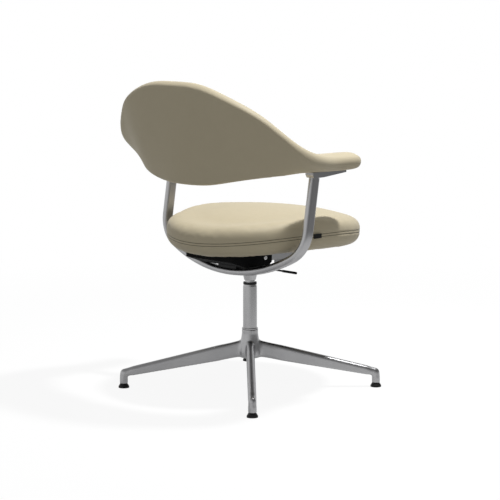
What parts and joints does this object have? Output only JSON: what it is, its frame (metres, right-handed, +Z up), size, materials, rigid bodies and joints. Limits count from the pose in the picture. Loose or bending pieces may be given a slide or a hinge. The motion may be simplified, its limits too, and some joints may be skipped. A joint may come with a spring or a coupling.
{
  "type": "pedestal swivel armchair",
  "caption": "Low-backed swivel armchair with a wraparound padded back and arms on a U-shaped bar, padded seat, gas column and cast star base on glides.",
  "frame": {"origin": "on the floor, at the middle of the chair's footprint", "axes": "+Z up; the chair faces -Y and its right side is -X"},
  "size_m": [0.671, 0.6096, 0.843],
  "materials": {
    "cast_aluminium": "satin",
    "satin_tube": "satin",
    "trim_metal": "satin",
    "black_plastic": "matte",
    "steel_parts": "brushed",
    "black_lever": "satin",
    "screw_steel": "zinc plated",
    "black_rubber": "matte",
    "plywood": "raw",
    "upholstery_outer": "smooth",
    "upholstery_inner": "smooth"
  },
  "bodies": {
    "root": {"base_casting": "cast_aluminium", "column_collar_ring": "trim_metal", "floor_glides": "black_plastic", "glide_studs": "steel_parts", "column_tube": "satin_tube", "guide_bush": "black_plastic", "thrust_washer_lower": "steel_parts", "bearing_balls": "steel_parts"},
    "spindle": {"thrust_washer_upper": "steel_parts", "bump_stop": "black_rubber", "piston_rod": "steel_parts", "piston": "steel_parts", "retaining_clip": "black_plastic"},
    "carriage": {"gas_cylinder": "trim_metal", "mechanism_housing": "cast_aluminium", "torsion_sleeves": "black_rubber", "axle_washers": "steel_parts", "tilt_stop": "black_rubber", "lever_pin": "steel_parts"},
    "valve": {"valve_button": "steel_parts"},
    "lever": {"height_lever": "black_lever", "lever_grip": "black_plastic"},
    "upper": {"tilt_axle": "steel_parts", "tilt_frame": "cast_aluminium", "mechanism_cover": "black_plastic", "cover_screws": "screw_steel", "yoke": "cast_aluminium", "yoke_screws": "screw_steel", "arm_bracket_right": "cast_aluminium", "arm_bracket_left": "cast_aluminium", "bracket_screws": "screw_steel", "back_shell": "upholstery_outer", "back_cushion": "upholstery_inner", "seat_board": "plywood", "seat_pan": "upholstery_outer", "seat_band": "upholstery_outer", "seat_cushion": "upholstery_inner", "seat_under_panel": "black_plastic", "seat_screws": "screw_steel", "seam_tab": "black_plastic"}
  },
  "joints": [
    {"name": "swivel", "type": "hinge", "parent": "root", "child": "spindle", "pos_m": [0, 0.01228, 0.0949], "axis": [0, 0, 1], "continuous": true},
    {"name": "height", "type": "slide", "parent": "spindle", "child": "carriage", "axis": [0, 0, 1], "range_m": [0, 0.09]},
    {"name": "lever_lift", "type": "hinge", "parent": "carriage", "child": "lever", "pos_m": [-0.022, 0.01228, 0.3457], "axis": [0, 1, 0], "range_deg": [0, 5], "stiffness_Nm_per_rad": 3, "springref_deg": -5.73},
    {"name": "valve_press", "type": "slide", "parent": "carriage", "child": "valve", "axis": [0, 0, -1], "range_m": [0, 0.003]},
    {"name": "tilt", "type": "hinge", "parent": "carriage", "child": "upper", "pos_m": [0, -0.01372, 0.336], "axis": [-1, 0, 0], "range_deg": [0, 10], "stiffness_Nm_per_rad": 120, "springref_deg": -20.05}
  ],
  "couplings": [
    {"joint": "valve_press", "follows": "lever_lift", "m_per_rad": 0.022}
  ]
}
